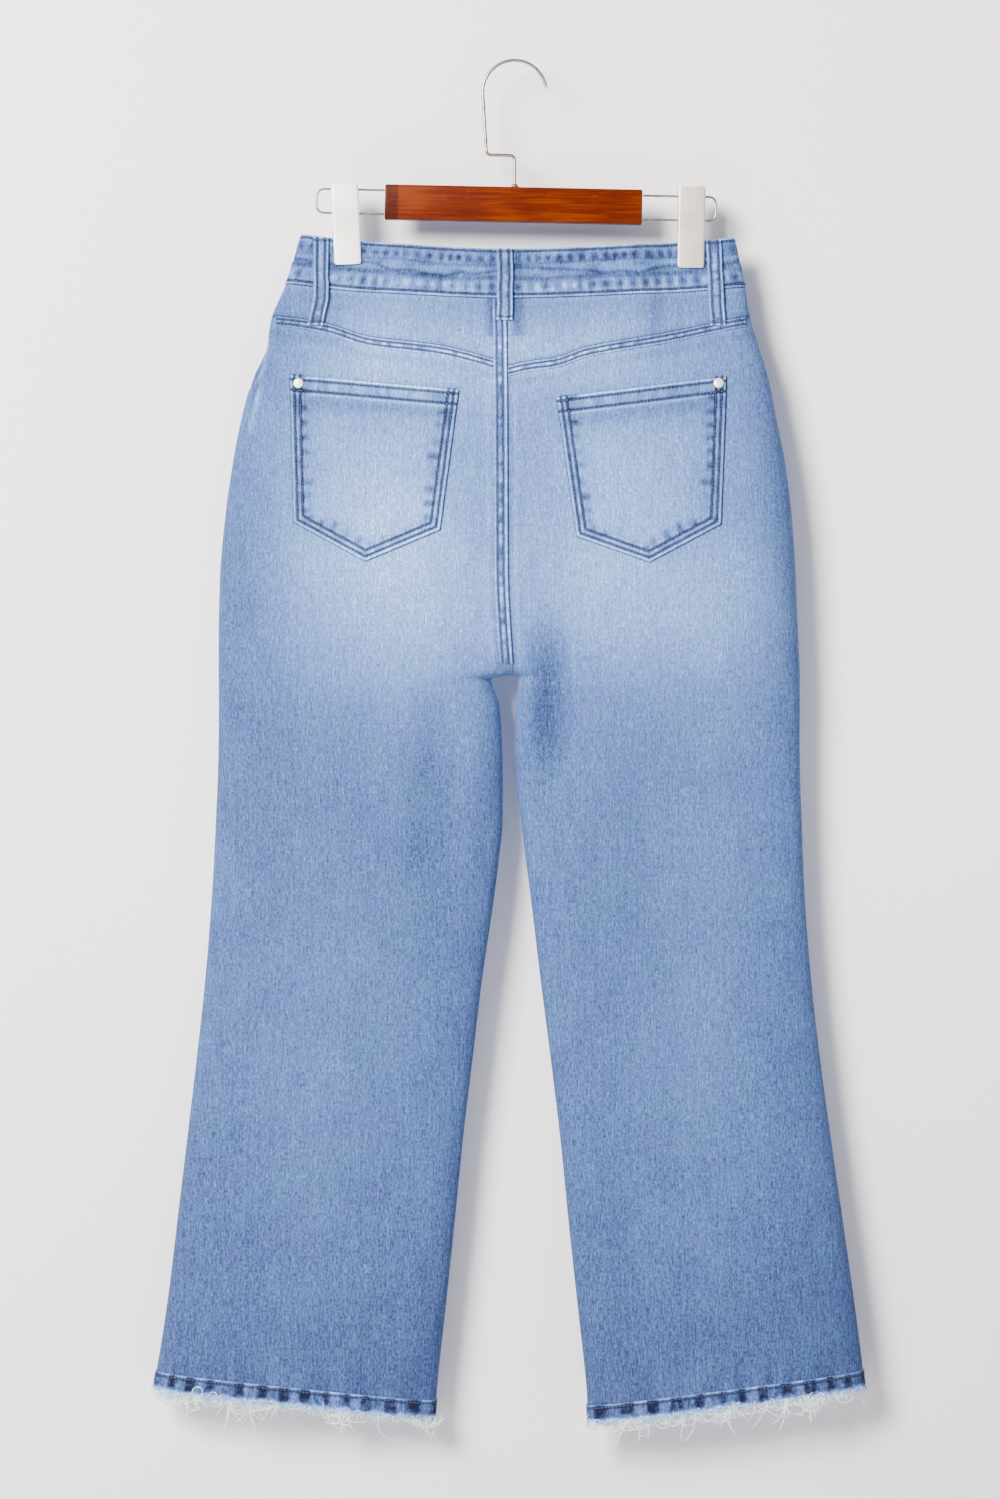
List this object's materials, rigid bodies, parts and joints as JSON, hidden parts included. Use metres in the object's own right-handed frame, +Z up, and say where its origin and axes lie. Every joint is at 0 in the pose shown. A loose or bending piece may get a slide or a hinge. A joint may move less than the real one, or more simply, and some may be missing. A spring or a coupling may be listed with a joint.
{
  "type": "flare jeans on a clip hanger",
  "caption": "Faded flare jeans with patch back pockets, belt loops and frayed hems, hanging flat from a wooden hanger with metal clips and a wire hook.",
  "frame": {"origin": "inside of the hanger hook's bend, where the hook bears on the rail that it hangs from", "axes": "+Z up, +Y from the seat towards the fly, so the back of the jeans faces -Y, and +X towards the wearer's right side"},
  "size_m": [0.6001, 0.0551, 1.1681],
  "materials": {
    "denim": "light blue washed cotton twill",
    "faded_denim": "the same twill, faded nearly white over the seat",
    "seam_denim": "twill in doubled seams, light on the ridges and indigo in the grooves",
    "cotton": "bare white cotton threads",
    "nickel": "warm satin nickel plate",
    "wire": "bright nickel-plated steel wire",
    "wood": "stained reddish brown, satin lacquer"
  },
  "bodies": {
    "root": {"back_leg_left": "denim", "back_leg_right": "denim", "front_leg_left": "denim", "front_leg_right": "denim", "yoke_left": "faded_denim", "yoke_right": "faded_denim", "waistband": "denim", "loop_centre_back": "faded_denim", "loop_back_left": "faded_denim", "loop_back_right": "faded_denim", "loop_front_left": "faded_denim", "loop_front_right": "faded_denim", "seam_centre_back": "seam_denim", "seam_centre_front": "seam_denim", "seam_yoke_left": "seam_denim", "seam_yoke_right": "seam_denim", "back_pocket_left": "faded_denim", "back_pocket_right": "faded_denim", "rivet_left": "nickel", "rivet_right": "nickel", "fly_placket": "denim", "button": "nickel", "pocket_facing_left": "denim", "pocket_facing_right": "denim", "hem_left": "seam_denim", "hem_right": "seam_denim", "fringe_left": "cotton", "fringe_right": "cotton", "hanger_bar": "wood", "hanger_hook": "wire", "hanger_collar": "wire", "hanger_rail_left": "wire", "hanger_rail_right": "wire", "clip_left_jaw_back": "nickel", "clip_left_jaw_front": "nickel", "clip_left_spring": "nickel", "clip_right_jaw_back": "nickel", "clip_right_jaw_front": "nickel", "clip_right_spring": "nickel"}
  },
  "joints": []
}
